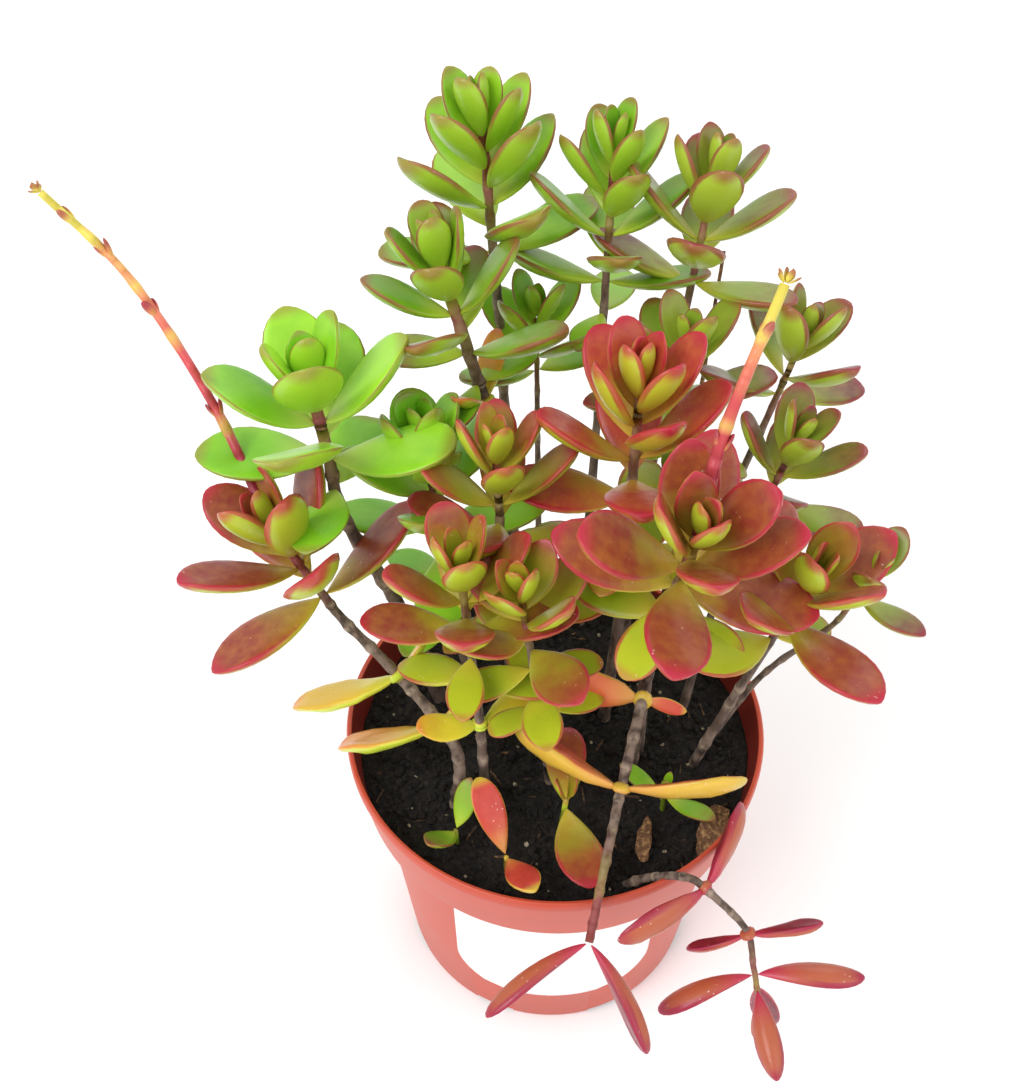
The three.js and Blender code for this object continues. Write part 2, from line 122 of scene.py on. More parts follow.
class Shader:
    """One material's node tree."""

    def __init__(self, name: str) -> None:
        """Makes an empty material.

        Args:
            name: the material's name.
        """
        self.material = bpy.data.materials.new(name)
        self.material.use_nodes = True
        self.tree = self.material.node_tree
        self.tree.nodes.clear()

    def node(self, kind: str, settings: dict | None = None, inputs: dict | None = None,
             output: int | str = 0) -> Wire:
        """Adds a node.

        Args:
            kind: the node's type.
            settings: its properties, set first.
            inputs: values or wires by socket name or number.
            output: the socket that is returned.

        Returns:
            The wire of that output.
        """
        made = self.tree.nodes.new(kind)
        for key, value in (settings or {}).items():
            setattr(made, key, value)
        for key, value in (inputs or {}).items():
            if isinstance(value, Wire):
                self.tree.links.new(value.socket, made.inputs[key])
            else:
                made.inputs[key].default_value = value
        return Wire(self, made.outputs[output])

    def place(self) -> Wire:
        """Object coordinates, in metres."""
        return self.node("ShaderNodeTexCoord", output="Object")

    def grain(self, scale: float, detail: float = 3.0, stretch: Point = (1, 1, 1)) -> Wire:
        """Noise from 0 to 1.

        Args:
            scale: bumps per metre.
            detail: octaves.
            stretch: how much the pattern is squeezed along each axis.

        Returns:
            The noise value.
        """
        where = self.node("ShaderNodeMapping", {}, {"Vector": self.place(), "Scale": stretch})
        return self.node("ShaderNodeTexNoise", {}, {"Vector": where, "Scale": scale, "Detail": detail})

    def flecks(self, scale: float, size: float) -> Wire:
        """Sparse round flecks, 1 inside and 0 outside."""
        cells = self.node("ShaderNodeTexVoronoi", {}, {"Vector": self.place(), "Scale": scale})
        return 1 - self.step(cells, size * 0.6, size)

    def painted(self, name: str) -> Wire:
        """A number that each vertex carries."""
        return self.node("ShaderNodeAttribute", {"attribute_name": name}, output="Fac")

    def step(self, value: Value, low: float, high: float) -> Wire:
        """A smooth step of a value from low to high."""
        span = {"Value": value, "From Min": low, "From Max": high}
        return self.node("ShaderNodeMapRange", {"interpolation_type": "SMOOTHSTEP"}, span)

    def mix(self, first: Value, second: Value, share: Value) -> Wire:
        """A colour between two, by a share of the second."""
        sides = {0: share, 6: first, 7: second}
        return self.node("ShaderNodeMix", {"data_type": "RGBA", "clamp_factor": True}, sides, 2)

    def bump(self, height: Value, distance: float, strength: float = 1.0) -> Wire:
        """A bump of a height whose full range is a distance in metres."""
        inputs = {"Height": height, "Distance": distance, "Strength": strength}
        return self.node("ShaderNodeBump", {}, inputs)

    def finish(self, **inputs: Value) -> bpy.types.Material:
        """Closes the tree with a Principled surface.

        Args:
            inputs: socket values, with underscores for the spaces in their names.

        Returns:
            The material.
        """
        named = {key.replace("_", " "): value for key, value in inputs.items()}
        surface = self.node("ShaderNodeBsdfPrincipled", {}, named)
        self.node_output(surface)
        return self.material

    def node_output(self, surface: Wire) -> None:
        """Links a surface to the material's output."""
        end = self.tree.nodes.new("ShaderNodeOutputMaterial")
        self.tree.links.new(surface.socket, end.inputs["Surface"])


# ---------------------------------------------------------------- finishes


@dataclass(frozen=True)
class LeafFinish:
    """A waxy leaf: colours of its blade, and how far its red flush reaches."""

    name: str
    slot: str
    face: Colour
    shade: Colour
    foot: Colour
    under: Colour
    blush: Colour
    deep_blush: Colour
    margin: Colour = tint(0x8E1234)
    rim: float = 0.85
    specks: float = 0.25
    wrinkle: float = 0.15
    roughness: float = 0.36

    def build(self) -> bpy.types.Material:
        """The material, read from what each leaf's vertices carry."""
        s = Shader(self.name)
        along, rim, upper = (s.painted(n) for n in ("along", "rim", "upper"))
        flush, chance = s.painted("flush"), s.painted("chance")
        cloud = s.grain(110.0, 4.0)
        mottle = s.grain(420.0, 3.0)
        blade = s.mix(self.shade, self.face, s.step(cloud * 0.7 + chance * 0.45, 0.25, 0.8))
        blade = s.mix(self.under, blade, upper)
        blade = s.mix(self.foot, blade, s.step(along, 0.02, 0.5))
        edge = s.step(rim + (cloud - 0.5) * 0.12, self.rim, self.rim + 0.09) * s.step(along, 0.25, 0.7)
        point = s.step(along, 0.84, 0.98) * (0.45 + flush * 0.55)
        wash = flush * (0.35 + along * 0.85) * (0.3 + upper * 0.7) + (cloud - 0.5) * 0.5
        red = s.step(wash, 0.18, 0.66)
        ruddy = s.mix(self.blush, self.deep_blush, s.step(mottle * 0.6 + upper * 0.45, 0.4, 0.85))
        skin = s.mix(blade, ruddy, red * (0.9 + (mottle - 0.5) * 0.35))
        skin = s.mix(skin, self.margin, (edge * 0.8) | point)
        dots = s.flecks(700.0, 0.16) * s.step(s.grain(160.0), 0.5, 0.7) * self.specks
        colour = s.mix(skin, tint(0xF3E6D8), dots)
        relief = s.grain(900.0, 2.0) * 0.35 + s.grain(300.0, 3.0) * self.wrinkle * 3.0 + dots
        return s.finish(
            Base_Color=colour,
            Roughness=self.roughness + (mottle - 0.5) * 0.2 + dots * 0.3,
            Normal=s.bump(relief, 0.25 * MM, 0.5),
            IOR=1.42,
            Subsurface_Weight=0.12,
            Subsurface_Radius=(1.0, 0.6, 0.2),
            Subsurface_Scale=1.6 * MM,
            Coat_Weight=0.12,
            Coat_Roughness=0.25,
        )


class Tone(Enum):
    """The leaf finishes that the plant wears."""

    LIME = LeafFinish(
        "lime_leaf", "green_leaf", tint(0xA4DC34), tint(0x76B81E), tint(0xC4DC64), tint(0x9CC830),
        tint(0x9A3040), tint(0x86283A), rim=0.93, specks=0.15)
    GREEN = LeafFinish(
        "green_blushed_leaf", "green_leaf", tint(0x98C828), tint(0x68A01A), tint(0xB8CC40), tint(0x9CC030),
        tint(0x96303C), tint(0x7E2430), rim=0.88, specks=0.2)
    OLIVE = LeafFinish(
        "olive_leaf", "olive_leaf", tint(0x9CB832), tint(0x6E9022), tint(0xB8B840), tint(0xA8C038),
        tint(0x8E2C3C), tint(0x6E2430), rim=0.84, specks=0.25)
    RED = LeafFinish(
        "red_leaf", "red_leaf", tint(0xB4BC28), tint(0x8CA020), tint(0xC8B83C), tint(0xB0C030),
        tint(0xB42834), tint(0x922C2C), margin=tint(0xB01838), rim=0.82, specks=0.45)
    SCARLET = LeafFinish(
        "scarlet_leaf", "red_leaf", tint(0xC0B828), tint(0x94A824), tint(0xCCA83C), tint(0xBCC034),
        tint(0xCC2438), tint(0xB02A34), margin=tint(0xB01034), rim=0.8, specks=0.35)
    CRIMSON = LeafFinish(
        "crimson_leaf", "crimson_leaf", tint(0xA83440), tint(0x84202E), tint(0xB83050), tint(0xB05A3C),
        tint(0x90203A), tint(0x701A2A), margin=tint(0x9A1440), rim=0.8, specks=0.8, wrinkle=0.35)
    CORAL = LeafFinish(
        "coral_leaf", "coral_leaf", tint(0xE87448), tint(0xD65638), tint(0xDCA050), tint(0xD8B040),
        tint(0xD04038), tint(0xC03A34), margin=tint(0xC8B040), rim=0.9, specks=0.9, wrinkle=0.7,
        roughness=0.32)
    AMBER = LeafFinish(
        "amber_leaf", "amber_leaf", tint(0xE0D038), tint(0xE0B030), tint(0xC8C83C), tint(0xC8D840),
        tint(0xE07838), tint(0xD88838), margin=tint(0xD87040), rim=0.92, specks=0.7, wrinkle=0.6,
        roughness=0.32)


@dataclass(frozen=True)
class BarkFinish:
    """A woody stem: grey-brown bark below, fresh and ruddy near its tip."""

    name: str = "bark"
    old: Colour = tint(0x7D6A5E)
    dark: Colour = tint(0x43332D)
    scar: Colour = tint(0xB09C88)
    fresh: Colour = tint(0x93803C)
    ruddy: Colour = tint(0x8A3E3C)

    def build(self) -> bpy.types.Material:
        """The material, by the place along the stem."""
        s = Shader(self.name)
        along, ring = s.painted("along"), s.painted("rim")
        fissure = s.grain(500.0, 5.0, (1, 1, 0.3))
        bark = s.mix(self.dark, self.old, s.step(fissure, 0.32, 0.6))
        bark = s.mix(bark, self.scar, ring * s.step(s.grain(700.0), 0.35, 0.6) * 0.7)
        young = s.mix(self.ruddy, self.fresh, s.step(s.grain(140.0), 0.4, 0.65))
        colour = s.mix(bark, young, s.step(along, 0.72, 0.95))
        relief = fissure + s.grain(1500.0, 3.0) * 0.4 + ring * 0.5
        return s.finish(Base_Color=colour, Roughness=0.85 - s.step(along, 0.72, 0.95) * 0.35,
                        Normal=s.bump(relief, 0.5 * MM, 0.8))


@dataclass(frozen=True)
class StalkFinish:
    """A waxy flower stalk: dark red below, then pink-orange, and yellow at its tip."""

    name: str = "flower_stalk"
    low: Colour = tint(0x94243A)
    middle: Colour = tint(0xCC4A4E)
    high: Colour = tint(0xE09060)
    tip: Colour = tint(0xDCCB52)

    def build(self) -> bpy.types.Material:
        """The material, by the place along the stalk."""
        s = Shader(self.name)
        along, upper = s.painted("along"), s.painted("upper")
        cloud = (s.grain(260.0) - 0.5) * 0.3
        colour = s.mix(self.low, self.middle, s.step(along + cloud, 0.1, 0.5))
        colour = s.mix(colour, self.high, s.step(along + cloud, 0.5, 0.78))
        colour = s.mix(colour, self.tip, s.step(along + cloud, 0.74, 0.92))
        colour = s.mix(colour, self.tip, s.painted("rim") * 0.85)
        colour = s.mix(colour, self.low, upper * 0.8)
        return s.finish(Base_Color=colour, Roughness=0.42 + cloud * 0.4,
                        Normal=s.bump(s.grain(1200.0), 0.15 * MM, 0.5),
                        Subsurface_Weight=0.1, Subsurface_Scale=1.0 * MM)


@dataclass(frozen=True)
class PlasticFinish:
    """Satin moulded plastic, with a fine texture, faint flow bands and pale specks of dust."""

    name: str = "terracotta_plastic"
    body: Colour = tint(0xC04830)
    shade: Colour = tint(0xBA442D)
    # inside: painted shade, a deeper red that stands for the shade on the pot's inside wall.
    inside: Colour = tint(0x7E2820)

    def build(self) -> bpy.types.Material:
        """The material, with painted shade on the inside wall, a deeper red where shade falls inside the
        pot.
        """
        s = Shader(self.name)
        bands = s.grain(60.0, 3.0, (0.4, 0.4, 3.0))
        colour = s.mix(self.shade, self.body, s.step(bands, 0.3, 0.62))
        # Painted shade: the inside wall, as its inside paint marks it, turns the deeper red.
        colour = s.mix(colour, self.inside, s.painted("inside"))
        dust = s.step(s.grain(900.0, 4.0), 0.66, 0.78) * 0.12
        colour = s.mix(colour, tint(0xE8B8A4), dust)
        fine = s.grain(2600.0, 2.0)
        return s.finish(Base_Color=colour, Roughness=0.4 + (bands - 0.5) * 0.08 + dust,
                        Normal=s.bump(fine + bands * 0.15, 0.06 * MM, 0.6),
                        Subsurface_Weight=0.04, Subsurface_Scale=1.0 * MM)


@dataclass(frozen=True)
class GroundFinish:
    """Damp potting mix, and the bits that lie in it."""

    name: str
    dark: Colour
    light: Colour
    roughness: float = 0.95

    def build(self) -> bpy.types.Material:
        """The material, mottled and rough."""
        s = Shader(self.name)
        crumbs = s.grain(850.0, 5.0)
        colour = s.mix(self.dark, self.light, s.step(crumbs, 0.42, 0.78))
        return s.finish(Base_Color=colour, Roughness=self.roughness - s.step(crumbs, 0.6, 0.8) * 0.3,
                        Normal=s.bump(crumbs + s.grain(2200.0, 3.0) * 0.5, 1.2 * MM))


@dataclass(frozen=True)
class PaperFinish:
    """A blank matt label with faint fibres."""

    name: str = "label_paper"

    def build(self) -> bpy.types.Material:
        """The material."""
        s = Shader(self.name)
        fibres = s.grain(1800.0, 4.0, (1, 1, 0.35))
        colour = s.mix(tint(0xF2F1EF), tint(0xFCFCFC), s.step(fibres, 0.35, 0.65))
        return s.finish(Base_Color=colour, Roughness=0.62 + (fibres - 0.5) * 0.2,
                        Normal=s.bump(fibres, 0.05 * MM, 0.5))


# ---------------------------------------------------------------- the growth plan


@dataclass(frozen=True)
class Growth:
    """How a tuft grows, pair by pair up from the oldest. Angles are in degrees."""

    turn: float = 98
    spacing: float = 2.5
    stretch: float = 0.09
    splay: float = 86
    young_splay: float = 16
    closing: float = 0.8
    young_size: float = 0.42
    shrinking: float = 2

    def below_tip(self, above: int) -> float:
        """How far below the tip a pair sits, from how many pairs are above it."""
        return self.spacing * above * (1 + self.stretch * above)


GROWTH = Growth()
SOIL_LEVEL = 76.0
PLANTING_DEPTH = 6.0
JOINT = 1.5
FOOT_OFFSET = 0.6


@dataclass(frozen=True)
class Shoot:
    """A leafy shoot: its stem's route, where its tuft ends and the leaves it bears."""

    name: str
    tone: Tone
    flush: float
    thick: float
    broad: float
    turn: float
    pairs: int
    leaf: float
    stem: tuple[Point, ...]
    tip: Point
    splay: float = GROWTH.splay
    lower: int = 0


SHOOTS = (
    Shoot("back_left", Tone.GREEN, 0.2, 2.6, 1.1, 15, 8, 26,
          ((-10, 40), (-12, 50, 130), (-14, 57, 170)), (-17, 61, 211)),
    Shoot("left_back", Tone.GREEN, 0.42, 3.4, 1.05, 160, 7, 24,
          ((-9, 24), (-11, 30, 125), (-17, 35, 158)), (-26, 38, 193), lower=1),
    Shoot("small_back", Tone.GREEN, 0.15, 1.6, 1.15, 30, 5, 20,
          ((-3, 36), (-4, 46, 120)), (-5, 53, 168)),
    Shoot("back_centre", Tone.GREEN, 0.35, 2.2, 1, 170, 8, 24,
          ((8, 38), (10, 47, 135)), (11, 58, 206), lower=1),
    Shoot("back_right", Tone.OLIVE, 0.55, 2.2, 1.05, -25, 7, 24,
          ((20, 34), (24, 42, 130)), (32, 53, 203)),
    Shoot("right_inner", Tone.OLIVE, 0.45, 2, 1, 10, 5, 22,
          ((21, 24), (26, 30, 125)), (27, 33, 174), lower=2),
    Shoot("right_back", Tone.OLIVE, 0.62, 2, 0.95, 25, 5, 22,
          ((31, 24), (40, 31, 120)), (54, 40, 171)),
    Shoot("right_middle", Tone.OLIVE, 0.6, 2, 1, -25, 6, 21,
          ((33, 8), (39, 12, 120)), (49, 12, 165), lower=1),
    Shoot("centre", Tone.SCARLET, 0.95, 2.6, 1.05, 172, 8, 27,
          ((13, 7), (15, 8, 120)), (15, 10, 181), lower=3),
    Shoot("middle", Tone.RED, 0.72, 2.4, 0.95, 165, 7, 22,
          ((-9, 6), (-12, 3, 115)), (-14, 6, 167), lower=3),
    Shoot("front_left", Tone.RED, 0.68, 2.2, 1.05, 178, 6, 23,
          ((-17, -19), (-18, -18, 107)), (-21, -16, 156), lower=2),
    Shoot("front_middle", Tone.RED, 0.6, 2, 1.1, -60, 6, 20,
          ((-1, -12), (-4, -17, 110)), (-9, -20, 153), lower=3),
    Shoot("front_right", Tone.RED, 0.9, 3, 1, 160, 7, 28,
          ((21, -3), (21, -6, 115)), (23, -27, 177), lower=2),
    Shoot("right_low", Tone.RED, 0.85, 2.2, 1.05, -62, 5, 25,
          ((34, -7), (40, -13, 110)), (48, -20, 157), lower=1),
    Shoot("right_tip", Tone.OLIVE, 0.5, 1.6, 1.1, -45, 3, 15,
          ((37, -2), (47, -8, 112), (58, -14, 138)), (62, -15, 153)),
    Shoot("left_tall", Tone.LIME, 0.04, 3.4, 1.25, 172, 6, 29,
          ((-28, 12), (-38, 14, 110), (-49, 13, 145)), (-52, 16, 177), lower=1),
    Shoot("left_low", Tone.RED, 0.88, 2.6, 1, -155, 6, 29,
          ((-25, -19), (-24, -18, 98), (-37, -8, 112), (-50, -1, 125)), (-61, 2, 147)),
    Shoot("left_inner", Tone.LIME, 0.06, 2, 1.15, 175, 7, 25,
          ((-20, 12), (-26, 17, 112)), (-30, 21, 157), lower=3),
    Shoot("front_trailing", Tone.CRIMSON, 0.6, 2.6, 0.5, 180, 1, 25,
          ((19, -8), (19, -15, 112), (14, -30, 99), (10, -45, 93)), (6, -60, 85), 45),
    Shoot("right_trailing", Tone.CRIMSON, 0.9, 1.8, 0.65, 178, 3, 23,
          ((13, -40), (20, -43, 82), (29, -47, 89), (34, -51, 88), (42, -55, 79)), (45, -64, 66), 82),
)

SEEDLINGS = (
    Shoot("seedling_front", Tone.RED, 0.7, 1.6, 1, -85, 2, 21, ((1, -25),), (2, -26, 88)),
    Shoot("seedling_red", Tone.CORAL, 0.7, 1.4, 0.75, 110, 1, 19, ((-12, -37),), (-12, -37, 81), 60),
    Shoot("seedling_left", Tone.GREEN, 0.35, 1.4, 1, 60, 1, 13, ((-24, -30),), (-24, -30, 81), 55),
    Shoot("seedling_right", Tone.GREEN, 0.25, 1.4, 0.8, -30, 2, 13, ((26, -21),), (26, -21, 84)),
)


@dataclass(frozen=True)
class OldPair:
    """Two old leaves left on a bare stretch of a shoot's stem."""

    name: str
    on: str
    at: Point
    tone: Tone
    broad: float
    turn: float
    splay: float
    lengths: tuple[float, float]
    flush: float = 0.5


PAIRS = (
    OldPair("left_yellow_pair", "left_low", (-37, -8, 112), Tone.AMBER, 0.8, 170, 80, (28, 12), 0.3),
    OldPair("left_amber_pair", "left_low", (-28, -15, 102), Tone.AMBER, 0.85, 165, 80, (27, 13), 0.55),
    OldPair("middle_amber_pair", "front_left", (-18, -18, 107), Tone.AMBER, 1.05, 20, 80, (24, 15), 0.35),
    OldPair("back_amber_pair", "left_back", (-17, 35, 158), Tone.AMBER, 0.8, 70, 60, (18, 16), 0.7),
    OldPair("upper_coral_pair", "front_trailing", (19, -15, 112), Tone.CORAL, 0.85, 165, 95, (24, 10)),
    OldPair("lower_coral_pair", "front_trailing", (14, -30, 99), Tone.CORAL, 0.85, 165, 80, (28, 28)),
    OldPair("rim_pair", "right_trailing", (32, -49, 88.6), Tone.CRIMSON, 0.8, 55, 80, (23, 24), 0.2),
    OldPair("hanging_pair", "right_trailing", (42, -55, 79), Tone.CRIMSON, 0.5, -15, 100, (17, 15), 0.8),
)


@dataclass(frozen=True)
class Stalk:
    """A flower stalk with bracts at shares of its length."""

    name: str
    radius: float
    bud_radius: float
    bracts: tuple[float, ...]
    route: tuple[Point, ...]


STALKS = (
    Stalk("left_flower_stalk", 1.05, 1.7, (0.3, 0.55, 0.7, 0.85),
          ((-62, 3, 147), (-74, 19, 170), (-91, 34, 193), (-105, 38, 209))),
    Stalk("right_flower_stalk", 1.2, 2, (0.45, 0.8), ((23, -28, 178), (26, -20, 193), (36, -5, 216))),
)
BRACT_LENGTH = 5.0
BRACT_SPLAY = 35.0

TWIG_ROUTE = ((28, 30), (32, 40, 120), (37, 56, 184))
TWIG_RADIUS = 0.7


@dataclass(frozen=True)
class Scrap:
    """A dead leaf that lies in the pot."""

    name: str
    at: Point
    heading: float
    length: float
    broad: float


LITTER = (
    Scrap("fallen_leaf", (33, -35, 77.4), 60, 15, 0.9),
    Scrap("shrivelled_leaf", (22, -24, 78.2), -100, 14, 0.5),
)


# ---------------------------------------------------------------- lines and directions


def heading(degrees: float) -> Vector:
    """The level direction at an angle from +X towards +Y."""
    turn = math.radians(degrees)
    return Vector((math.cos(turn), math.sin(turn), 0))


def square_to(axis: Vector, vector: Vector) -> Vector:
    """What is left of a vector once its share along an axis is taken off, at length one."""
    return (vector - axis * axis.dot(vector)).normalized()


def leaf_direction(axis: Vector, turn: float, turned_on: float, splay: float) -> Vector:
    """The way a leaf points.

    Args:
        axis: the stem's direction.
        turn: the heading of the tuft's oldest pair.
        turned_on: how far round the stem this leaf is from that one.
        splay: the angle between the leaf and the stem.

    Returns:
        A direction of length one.
    """
    out = Matrix.Rotation(math.radians(turned_on), 3, axis) @ square_to(axis, heading(turn))
    lean = math.radians(splay)
    return out * math.sin(lean) + axis * math.cos(lean)


def points_of(route: tuple[Point, ...]) -> list[Vector]:
    """A route's points, where one with no height is at the root."""
    root = SOIL_LEVEL - PLANTING_DEPTH
    return [Vector((*p, root)) if len(p) == 2 else Vector(p) for p in route]


def rounded(points: list[Vector], steps: int) -> list[Vector]:
    """A centripetal Catmull-Rom curve through points.

    Args:
        points: the points of the route.
        steps: stretches between each point and the next.

    Returns:
        Points along the curve.
    """
    ends = [points[0] * 2 - points[1], *points, points[-1] * 2 - points[-2]]
    curve = []
    for i in range(len(points) - 1):
        a, b, c, d = ends[i:i + 4]
        t1 = math.sqrt((b - a).length)
        t2 = t1 + math.sqrt((c - b).length)
        t3 = t2 + math.sqrt((d - c).length)
        for step in range(steps):
            t = lerp(t1, t2, step / steps)
            ab = a.lerp(b, t / t1)
            bc = b.lerp(c, (t - t1) / (t2 - t1))
            cd = c.lerp(d, (t - t2) / (t3 - t2))
            abc = ab.lerp(bc, t / t2)
            bcd = bc.lerp(cd, (t - t1) / (t3 - t1))
            curve.append(abc.lerp(bcd, (t - t1) / (t2 - t1)))
    return [*curve, points[-1].copy()]


def shoot_axis(shoot: Shoot) -> Vector:
    """The direction of a shoot's leafy top."""
    return (Vector(shoot.tip) - points_of(shoot.stem)[-1]).normalized()


def stem_line(shoot: Shoot, steps: int = 10) -> list[Vector]:
    """A shoot's stem from its root to its tip."""
    bare = points_of(shoot.stem)
    joint = Vector(shoot.tip) - shoot_axis(shoot) * (GROWTH.below_tip(shoot.pairs - 1) + JOINT)
    return rounded([*bare, joint, Vector(shoot.tip)], steps)


def tangents(line: list[Vector]) -> list[Vector]:
    """The direction of a line at each of its points."""
    last = len(line) - 1
    return [(line[min(i + 1, last)] - line[max(i - 1, 0)]).normalized() for i in range(last + 1)]


# ---------------------------------------------------------------- mesh tools


# inside marks the pot's inside wall, which the pot's finish darkens as painted shade.
PAINTS = ("along", "rim", "upper", "flush", "chance", "inside")


class Clay:
    """A bmesh whose vertices carry the numbers that the finishes read."""

    def __init__(self) -> None:
        """Starts an empty mesh with its paint layers."""
        self.mesh = bmesh.new()
        self.layers = {name: self.mesh.verts.layers.float.new(name) for name in PAINTS}

    def paint(self, vert: bmesh.types.BMVert, **values: float) -> None:
        """Sets what a vertex carries."""
        for name, value in values.items():
            vert[self.layers[name]] = value

    def tube(self, line: list[Vector], radius: Callable[[float], float], sides: int = 10,
             ringed: Callable[[float], float] = lambda share: 0.0) -> list[bmesh.types.BMVert]:
        """Extrudes a round section along a line.

        Args:
            line: the tube's centreline.
            radius: its radius at a share of the length.
            sides: faces round it.
            ringed: what the rim paint is at a share of the length.

        Returns:
            The tube's vertices.
        """
        ways = tangents(line)
        spans = [0.0]
        for a, b in zip(line, line[1:]):
            spans.append(spans[-1] + (b - a).length)
        turn = Vector((0, 0, 1)).rotation_difference(ways[0]).to_matrix().to_4x4()
        start = Matrix.Translation(line[0]) @ turn
        ring = bmesh.ops.create_circle(
            self.mesh, cap_ends=True, segments=sides, radius=radius(0.0), matrix=start)["verts"]
        face = ring[0].link_faces[0]
        made = list(ring)
        for v in ring:
            self.paint(v, along=0.0, rim=ringed(0.0))
        for i in range(1, len(line)):
            share = spans[i] / spans[-1]
            new = bmesh.ops.extrude_face_region(self.mesh, geom=[face])["geom"]
            face = next(g for g in new if isinstance(g, bmesh.types.BMFace))
            swing = ways[i - 1].rotation_difference(ways[i]).to_matrix()
            size = radius(share) / max(radius(spans[i - 1] / spans[-1]), 1e-6)
            for v in face.verts:
                v.co = line[i] + swing @ ((v.co - line[i - 1]) * size)
                self.paint(v, along=share, rim=ringed(share))
            made.extend(face.verts)
        return made

    def turned(self, profile: list[tuple[float, float]], steps: int, inner: int) -> None:
        """Spins an outline, given as radius and height, once round the Z axis.

        Args:
            profile: the outline, which starts and ends on the axis.
            steps: stretches in the full turn.
            inner: the number of the first point that is painted as inside, the mask of the pot's painted
                shade.
        """
        outline = [self.mesh.verts.new((radius, 0, height)) for radius, height in profile]
        edges = [self.mesh.edges.new(pair) for pair in zip(outline, outline[1:])]
        for order, vert in enumerate(outline):
            # The inside paint marks where the pot's finish puts its painted shade.
            self.paint(vert, inside=1.0 if order >= inner else 0.0)
        bmesh.ops.spin(self.mesh, geom=[*outline, *edges], cent=(0, 0, 0), axis=(0, 0, 1),
                       angle=2 * math.pi, steps=steps, use_merge=True)
        bmesh.ops.remove_doubles(self.mesh, verts=self.mesh.verts, dist=1e-4)

    def knobble(self, verts: list[bmesh.types.BMVert], amount: float, scale: float) -> None:
        """Roughens vertices by smooth noise, in millimetres."""
        for v in verts:
            v.co += noise.noise_vector(v.co * scale) * amount

    def to_piece(self, name: str, material: bpy.types.Material,
                 replaced: tuple[str, ...], smooth: bool = True) -> bpy.types.Object:
        """Turns the clay, in millimetres, into a finished piece in metres.

        Args:
            name: the piece's name.
            material: its finish.
            replaced: the CAD nodes that it stands for.
            smooth: whether its faces are shaded smooth.

        Returns:
            The object.
        """
        bmesh.ops.scale(self.mesh, vec=(MM, MM, MM), verts=self.mesh.verts)
        bmesh.ops.recalc_face_normals(self.mesh, faces=self.mesh.faces)
        data = bpy.data.meshes.new(name)
        self.mesh.to_mesh(data)
        self.mesh.free()
        for face in data.polygons:
            face.use_smooth = smooth
        data.materials.append(material)
        piece = bpy.data.objects.new(name, data)
        bpy.context.scene.collection.objects.link(piece)
        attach(piece, BODY)
        if replaced:
            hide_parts(*replaced)
        LOG.info("%s: %d faces, stands for %s", name, len(data.polygons), ", ".join(replaced) or "none")
        return piece


@dataclass(frozen=True)
class LeafForm:
    """The shape of one leaf: shares of its length, and how blunt its foot and point are."""

    width: float = 0.5
    thickness: float = 0.19
    cupping: float = 0.09
    channel: float = 0.07
    foot_power: float = 0.95
    tip_power: float = 0.6
    foot_width: float = 0.16
    upper_depth: float = 0.62
    belly_power: float = 1.25
    edge_power: float = 0.75
    roll: float = 9
    sides: int = 16
    rings: int = 14

    def fullness(self, share: float, blunt: float) -> float:
        """The blade's width at a share of its length, 1 where it is widest."""
        widest = self.foot_power / (self.foot_power + blunt)
        peak = widest ** self.foot_power * (1 - widest) ** blunt
        return share ** self.foot_power * max(0.0, 1 - share) ** blunt / peak

    def add(self, clay: Clay, foot: Vector, axis: Vector, along: Vector, length: float,
            broad: float, flush: float, rng: random.Random) -> list[bmesh.types.BMVert]:
        """Adds a leaf to some clay, shaped from a sphere.

        Args:
            clay: what it is added to.
            foot: where it grows from.
            axis: the stem's direction, which its upper face looks along.
            along: the way it points.
            length: its length.
            broad: how broad it is for its kind.
            flush: how red it has turned, from 0 to 1.
            rng: the source of its small irregularities.

        Returns:
            The leaf's vertices.
        """
        face = square_to(along, axis)
        roll = Matrix.Rotation(math.radians(rng.uniform(-self.roll, self.roll)), 3, along)
        face = roll @ face
        across = face.cross(along)
        blunt = self.tip_power * rng.uniform(0.85, 1.2)
        curl = self.cupping * rng.uniform(0.6, 1.6)
        sway = rng.uniform(-0.05, 0.05)
        chance = rng.random()
        half_width = self.width * broad * length / 2 * rng.uniform(0.94, 1.06)
        half_thickness = self.thickness * length / 2 * rng.uniform(0.9, 1.15)
        ball = bmesh.ops.create_uvsphere(
            clay.mesh, u_segments=self.sides, v_segments=self.rings, radius=1.0)["verts"]
        for v in ball:
            x, y, z = v.co
            share = min(1.0, max(0.0, (1 + z) / 2))
            girth = max(1e-6, math.hypot(x, y))
            side, lift = x / girth, y / girth
            full = max(self.fullness(share, blunt), self.foot_width * math.sin(math.pi * share))
            deep = self.upper_depth if lift > 0 else 1.0
            u = side * half_width * full
            belly = math.copysign(abs(lift) ** self.belly_power, lift)
            w = belly * half_thickness * full ** self.edge_power * deep
            w += self.channel * length * side * side * full * share
            w += curl * length * share * share
            u += sway * length * share * share
            v.co = foot + along * (share * length) + across * u + face * w
            clay.paint(v, along=share, rim=abs(side), upper=ease(lift, -0.25, 0.35),
                       flush=flush, chance=chance)
        return ball


LEAF = LeafForm()


# ---------------------------------------------------------------- the plant


